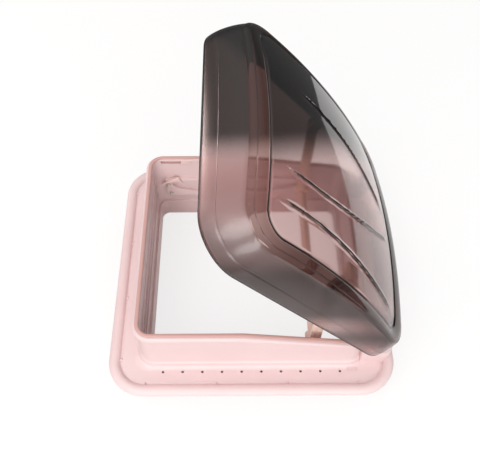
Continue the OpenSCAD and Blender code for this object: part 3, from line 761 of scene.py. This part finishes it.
set_tree = bpy.data.node_groups.new("set_on_points", "GeometryNodeTree")
TREE_INPUTS = {"Geometry": "NodeSocketGeometry", "Piece": "NodeSocketObject", "Size": "NodeSocketFloat",
               "Finish": "NodeSocketMaterial"}
for label, kind in TREE_INPUTS.items():
    set_tree.interface.new_socket(label, in_out="INPUT", socket_type=kind)
set_tree.interface.new_socket("Geometry", in_out="OUTPUT", socket_type="NodeSocketGeometry")
source = add_node(set_tree, "NodeGroupInput")
facing = add_node(set_tree, "GeometryNodeInputNamedAttribute", {"data_type": "FLOAT_VECTOR"}, {"Name": "facing"})
turned = add_node(set_tree, "FunctionNodeAlignRotationToVector", {"axis": "Z"},
                  {"Vector": facing.outputs["Attribute"]})
original = add_node(set_tree, "GeometryNodeObjectInfo", None, {"Object": source.outputs["Piece"]})
copies = add_node(set_tree, "GeometryNodeInstanceOnPoints", None, {
    "Points": source.outputs["Geometry"], "Instance": original.outputs["Geometry"],
    "Rotation": turned.outputs["Rotation"], "Scale": source.outputs["Size"]})
real = add_node(set_tree, "GeometryNodeRealizeInstances", None, {"Geometry": copies.outputs["Instances"]})
dressed = add_node(set_tree, "GeometryNodeSetMaterial", None,
                   {"Geometry": real.outputs["Geometry"], "Material": source.outputs["Finish"]})
add_node(set_tree, "NodeGroupOutput", None, {"Geometry": dressed.outputs["Geometry"]})


def set_on_seats(name, seats, piece, finish):
    """Sets copies of a piece on seats, each a place in millimetres and the way it faces."""
    mesh = bpy.data.meshes.new(name)
    mesh.from_pydata([Vector(place) * MM for place, _ in seats], [], [])
    layer = mesh.attributes.new("facing", "FLOAT_VECTOR", "POINT")
    layer.data.foreach_set("vector", [c for _, way in seats for c in way])
    made = bpy.data.objects.new(name, mesh)
    bpy.context.scene.collection.objects.link(made)
    modifier = made.modifiers.new("set_on_points", "NODES")
    modifier.node_group = set_tree
    values = {"Piece": piece, "Size": 1.0, "Finish": finish}
    for item in set_tree.interface.items_tree:
        if item.in_out == "INPUT" and item.name in values:
            modifier[item.identifier] = values[item.name]
    return apply_modifiers(made)


# %% [markdown]
# The seats follow the measured pieces: two near the ends of each rail and one above its track, two on
# each hinge block, and on the lid two on each leaf and each bracket. Lid seats are given closed and turned open.

# %% Screw seats
SEAT_IN = 6.5
rail_low, rail_high = box_mm("guide_rail_back")
rail_places = [(rail_low.x + SEAT_IN, rail_low.z + SEAT_IN), (rail_high.x - SEAT_IN, rail_low.z + SEAT_IN),
               ((rail_low.x + rail_high.x) / 2, rail_high.z - SEAT_IN)]
rail_seats = [((x, side * rail_low.y, z), (0, -side, 0)) for side in (-1, 1) for x, z in rail_places]

BLOCK_BASE = 5.0
block_low, block_high = box_mm("hinge_block_back")
block_seats = [((block_low.x + SEAT_IN, side * y, block_low.z + BLOCK_BASE), (0, 0, 1))
               for side in (-1, 1) for y in (block_low.y + SEAT_IN, block_high.y - SEAT_IN)]

LEAF_X, LEAF_Z, LEAF_SEAT_OUT = 162.5, 55.0, 12.15
hinge_y = (block_low.y + block_high.y) / 2
leaf_closed = [((LEAF_X, side * (hinge_y + s * LEAF_SEAT_OUT), LEAF_Z), (1, 0, 0))
               for side in (-1, 1) for s in (-1, 1)]

PIVOT_X, BRACKET_HALF, BRACKET_SEAT_OUT, BRACKET_BASE, BRACKET_GAP = 21.5, 16.0, 11.0, 5.0, 0.3
bracket_low, bracket_high = box_mm("stay_bracket_back")
bracket_z = MOUTH_Z + top_rise(PIVOT_X + BRACKET_HALF, bracket_high.y) - WALL - BRACKET_GAP - BRACKET_BASE
bracket_seat_y = bracket_low.y + HEAD_R + 1
bracket_closed = [((PIVOT_X + s * BRACKET_SEAT_OUT, side * bracket_seat_y, bracket_z), (0, 0, -1))
                  for side in (-1, 1) for s in (-1, 1)]


def opened(seats):
    """Turns seats of the closed lid open about the hinge."""
    return [(open_turn @ (Vector(place) * MM) / MM, open_turn.to_3x3() @ Vector(way)) for place, way in seats]


screw_groups = {
    "guide_rail_screws": rail_seats, "hinge_block_screws": block_seats,
    "hinge_leaf_screws": opened(leaf_closed), "stay_bracket_screws": opened(bracket_closed),
}
for node, seats in screw_groups.items():
    made = set_on_seats(node + "_pan_head", seats, screw, zinc_steel)
    finish_piece(made, zinc_steel, body_of_node[node], [node])
bpy.data.objects.remove(screw)
print("screws:", sum(len(seats) for seats in screw_groups.values()))

# %% [markdown]
# ## Painted shade in the roof holes
# A dark disc at the bottom of each screw hole is painted shade, where the hole lies in shadow. The same tree sets a
# thin disc in every hole.

# %% Painted shade in the roof holes
DOT_LOW, DOT_T = 0.2, 0.6
dot_shape = bmesh.new()
bmesh.ops.create_cone(dot_shape, cap_ends=True, segments=20, radius1=(HOLE_D / 2 - 0.02) * MM,
                      radius2=(HOLE_D / 2 - 0.25) * MM, depth=DOT_T * MM)
dot = mesh_object("sealant_dot", dot_shape)
dot_seats = [((x, y, DOT_LOW + DOT_T / 2), (0, 0, 1)) for x, y in hole_places]
dots = set_on_seats("roof_hole_sealant", dot_seats, dot, painted_hole_shade)
finish_piece(dots, painted_hole_shade, "frame")
bpy.data.objects.remove(dot)
print("sealant dots:", len(dot_seats))

# %% [markdown]
# ## Pips along the groove
# Small round pips stand in the groove beside the flange bead, four to a side, where the mould was vented.
# They are balls sunk halfway, set by the same tree.

# %% Pips
PIP_PLACES, PIP_R, GROOVE_HALF, PIP_Z = (-135.0, -45.0, 45.0, 135.0), 1.7, 167.3, 3.0
ball_shape = bmesh.new()
bmesh.ops.create_icosphere(ball_shape, subdivisions=3, radius=PIP_R * MM)
ball = mesh_object("pip_ball", ball_shape)
ball.data.shade_smooth()
pip_seats = [((*(Matrix.Rotation(math.radians(90 * quarter), 2) @ Vector((GROOVE_HALF, along))), PIP_Z), (0, 0, 1))
             for quarter in range(4) for along in PIP_PLACES]
pips = set_on_seats("groove_pips", pip_seats, ball, frame_abs)
finish_piece(pips, frame_abs, "frame")
bpy.data.objects.remove(ball)
print("pips:", len(pip_seats))

# %% [markdown]
# ## Floor, light and background
# The vent stands on a white board in a studio whose walls are grey and whose ceiling is bright. The glossy
# lid mirrors the walls, so it stays dark. A soft key light hangs over the camera's left shoulder, another
# fills from the front, and a narrow soft box stands low at the back left, where the skirt of the open lid
# mirrors it. Rays that see the board directly, or through glass and gloss, find it nearly white, while the
# light that it throws on the vent stays at a plain level.

# %% Stage
FLOOR_Z = cad_box[0][2] - 0.0005
FLOOR_WHITE = 0.75
BOARD_HALF, BOARD_BACK = 0.6, 0.1
floor_shape = bmesh.new()
bmesh.ops.create_grid(floor_shape, x_segments=1, y_segments=1, size=BOARD_HALF,
                      matrix=Matrix.Translation((0, BOARD_BACK, FLOOR_Z)))
floor = mesh_object("white_board", floor_shape)


def seen_directly(tree):
    """1 for camera, glossy and transmission rays, 0 for the rays that light other surfaces."""
    path = add_node(tree, "ShaderNodeLightPath")
    first = add_node(tree, "ShaderNodeMath", {"operation": "MAXIMUM"},
                     {0: path.outputs["Is Camera Ray"], 1: path.outputs["Is Glossy Ray"]})
    return add_node(tree, "ShaderNodeMath", {"operation": "MAXIMUM"},
                    {0: first.outputs["Value"], 1: path.outputs["Is Transmission Ray"]}).outputs["Value"]


floor_paint, tree, shader = new_material("floor_paint")
shader.inputs["Base Color"].default_value = linear("#f6f4f2")
shader.inputs["Roughness"].default_value = 0.9
glow = add_node(tree, "ShaderNodeEmission", None, {"Color": linear("#ffffff"), "Strength": 1.0})
share = add_node(tree, "ShaderNodeMath", {"operation": "MULTIPLY"}, {0: seen_directly(tree), 1: FLOOR_WHITE})
mixed = add_node(tree, "ShaderNodeMixShader", None, {"Fac": share.outputs["Value"]})
tree.links.new(shader.outputs["BSDF"], mixed.inputs[1])
tree.links.new(glow.outputs["Emission"], mixed.inputs[2])
tree.links.new(mixed.outputs["Shader"], tree.nodes["Material Output"].inputs["Surface"])
floor.data.materials.append(floor_paint)


def soft_light(name, place, target, size, watts, colour="#ffffff"):
    """A rectangular area light that faces a target."""
    data = bpy.data.lights.new(name, "AREA")
    data.shape = "RECTANGLE"
    data.size, data.size_y = size
    data.energy = watts
    data.color = linear(colour)[:3]
    lamp = bpy.data.objects.new(name, data)
    lamp.location = place
    lamp.rotation_euler = (Vector(target) - Vector(place)).to_track_quat("-Z", "Y").to_euler()
    bpy.context.scene.collection.objects.link(lamp)
    return lamp


soft_light("key", (-0.9, -1.3, 2.0), (0, 0, 0.05), (1.4, 1.4), 27)
soft_light("fill", (0.3, -2.2, 0.7), (0, 0, 0.05), (1.6, 0.8), 24)
soft_light("skirt_box", (-1.5, 1.35, 0.42), (0, -0.03, 0.28), (0.22, 0.5), 6, "#ffe3dd")

WALL_LIGHT, CEILING_LIGHT = 0.16, 0.95
WALL_TOP, CEILING_EDGE = 0.1, 0.8
world = bpy.data.worlds.new("studio")
world.use_nodes = True
tree = world.node_tree
way = add_node(tree, "ShaderNodeTexCoord")
axes = add_node(tree, "ShaderNodeSeparateXYZ", None, {"Vector": way.outputs["Generated"]})
glow = add_node(tree, "ShaderNodeMapRange", None, {
    "Value": axes.outputs["Z"], "From Min": WALL_TOP, "From Max": CEILING_EDGE,
    "To Min": WALL_LIGHT, "To Max": CEILING_LIGHT})
tree.links.new(glow.outputs["Result"], tree.nodes["Background"].inputs["Strength"])
tree.nodes["Background"].inputs["Color"].default_value = linear("#ffffff")
bpy.context.scene.world = world
bpy.context.scene.view_settings.view_transform = "Standard"
